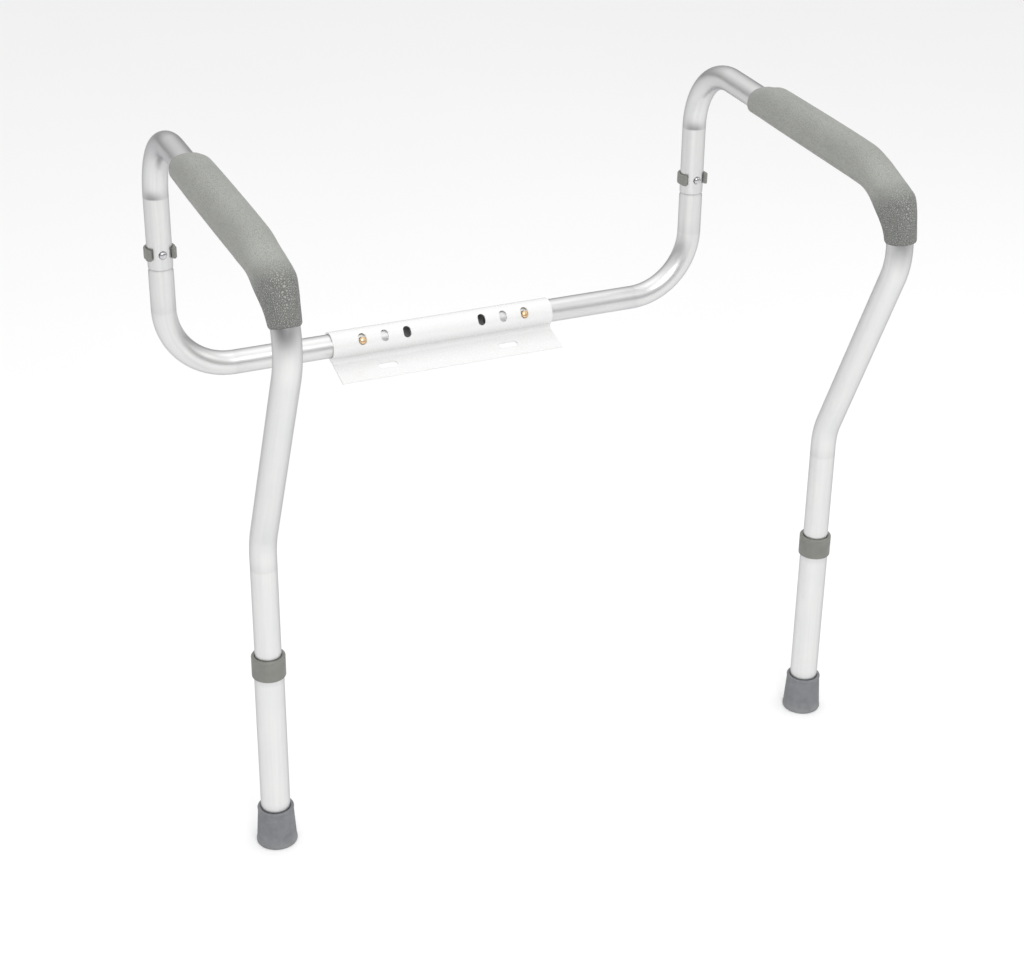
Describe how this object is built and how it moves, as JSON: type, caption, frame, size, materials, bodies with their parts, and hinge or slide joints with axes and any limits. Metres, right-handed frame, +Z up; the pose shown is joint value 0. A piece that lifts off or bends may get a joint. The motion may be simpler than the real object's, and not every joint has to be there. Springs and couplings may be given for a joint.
{
  "type": "toilet safety frame",
  "caption": "Support frame for a toilet: two padded tube armrests with telescoping front legs and rubber feet, joined behind the bowl by a slotted bracket that bolts under the seat.",
  "frame": {"origin": "centre of the frame's footprint box, on the floor the two feet stand on", "axes": "+X across the frame from one armrest to the other, -Y towards its open front, +Z up"},
  "size_m": [0.643, 0.4242, 0.6589],
  "materials": {
    "tube": "satin anodised",
    "bracket": "white powder coat",
    "pad": "moulded foam with a pebbled skin",
    "clip": "moulded",
    "collar": "moulded",
    "tip": "matt",
    "brass": "polished",
    "chrome": "polished",
    "spring": "bare spring steel"
  },
  "bodies": {
    "bracket": {"bracket": "bracket"},
    "left_width_spring": {"left_width_spring": "spring"},
    "left_rear": {"left_rear_tube": "tube", "left_joint_spring": "spring"},
    "left_width_button": {"left_width_button": "brass"},
    "left_joint_button": {"left_joint_button": "chrome"},
    "left_arm": {"left_arm_tube": "tube", "left_arm_pad": "pad", "left_joint_clip": "clip", "left_leg_spring": "spring"},
    "left_leg_button": {"left_leg_button": "chrome"},
    "left_leg": {"left_leg_tube": "tube", "left_leg_collar": "collar", "left_foot_tip": "tip", "left_foot_washer": "spring"},
    "right_width_spring": {"right_width_spring": "spring"},
    "right_rear": {"right_rear_tube": "tube", "right_joint_spring": "spring"},
    "right_width_button": {"right_width_button": "brass"},
    "right_joint_button": {"right_joint_button": "chrome"},
    "right_arm": {"right_arm_tube": "tube", "right_arm_pad": "pad", "right_joint_clip": "clip", "right_leg_spring": "spring"},
    "right_leg_button": {"right_leg_button": "chrome"},
    "right_leg": {"right_leg_tube": "tube", "right_leg_collar": "collar", "right_foot_tip": "tip", "right_foot_washer": "spring"}
  },
  "joints": [
    {"name": "left_width_slide", "type": "slide", "parent": "bracket", "child": "left_width_spring", "axis": [1, 0, 0], "range_m": [0, 0.0508], "deforming": ["left_width_button"]},
    {"name": "left_side_tilt", "type": "hinge", "parent": "left_width_spring", "child": "left_rear", "pos_m": [-0.094, 0.19629, 0.381], "axis": [-1, 0, 0], "range_deg": [0, 14]},
    {"name": "left_width_press", "type": "slide", "parent": "left_rear", "child": "left_width_button", "axis": [0, 0.9063, -0.4226], "range_m": [0, 0.0049], "stiffness_N_per_m": 1500, "springref_m": -0.002, "deforming": ["left_width_spring"]},
    {"name": "left_arm_lift", "type": "slide", "parent": "left_rear", "child": "left_arm", "axis": [0, 0, 1], "range_m": [0, 0.075], "deforming": ["left_joint_button"]},
    {"name": "left_joint_press", "type": "slide", "parent": "left_rear", "child": "left_joint_button", "axis": [0, 1, 0], "range_m": [0, 0.0042], "stiffness_N_per_m": 1500, "springref_m": -0.002, "deforming": ["left_joint_spring"]},
    {"name": "left_leg_height", "type": "slide", "parent": "left_arm", "child": "left_leg", "axis": [0, 0, -1], "range_m": [0, 0.127], "deforming": ["left_leg_button"]},
    {"name": "left_leg_press", "type": "slide", "parent": "left_arm", "child": "left_leg_button", "axis": [0, -1, 0], "range_m": [0, 0.0042], "stiffness_N_per_m": 1500, "springref_m": -0.002, "deforming": ["left_leg_spring"]},
    {"name": "right_width_slide", "type": "slide", "parent": "bracket", "child": "right_width_spring", "axis": [-1, 0, 0], "range_m": [0, 0.0508], "deforming": ["right_width_button"]},
    {"name": "right_side_tilt", "type": "hinge", "parent": "right_width_spring", "child": "right_rear", "pos_m": [0.094, 0.19629, 0.381], "axis": [-1, 0, 0], "range_deg": [0, 14]},
    {"name": "right_width_press", "type": "slide", "parent": "right_rear", "child": "right_width_button", "axis": [0, 0.9063, -0.4226], "range_m": [0, 0.0049], "stiffness_N_per_m": 1500, "springref_m": -0.002, "deforming": ["right_width_spring"]},
    {"name": "right_arm_lift", "type": "slide", "parent": "right_rear", "child": "right_arm", "axis": [0, 0, 1], "range_m": [0, 0.075], "deforming": ["right_joint_button"]},
    {"name": "right_joint_press", "type": "slide", "parent": "right_rear", "child": "right_joint_button", "axis": [0, 1, 0], "range_m": [0, 0.0042], "stiffness_N_per_m": 1500, "springref_m": -0.002, "deforming": ["right_joint_spring"]},
    {"name": "right_leg_height", "type": "slide", "parent": "right_arm", "child": "right_leg", "axis": [0, 0, -1], "range_m": [0, 0.127], "deforming": ["right_leg_button"]},
    {"name": "right_leg_press", "type": "slide", "parent": "right_arm", "child": "right_leg_button", "axis": [0, -1, 0], "range_m": [0, 0.0042], "stiffness_N_per_m": 1500, "springref_m": -0.002, "deforming": ["right_leg_spring"]}
  ]
}
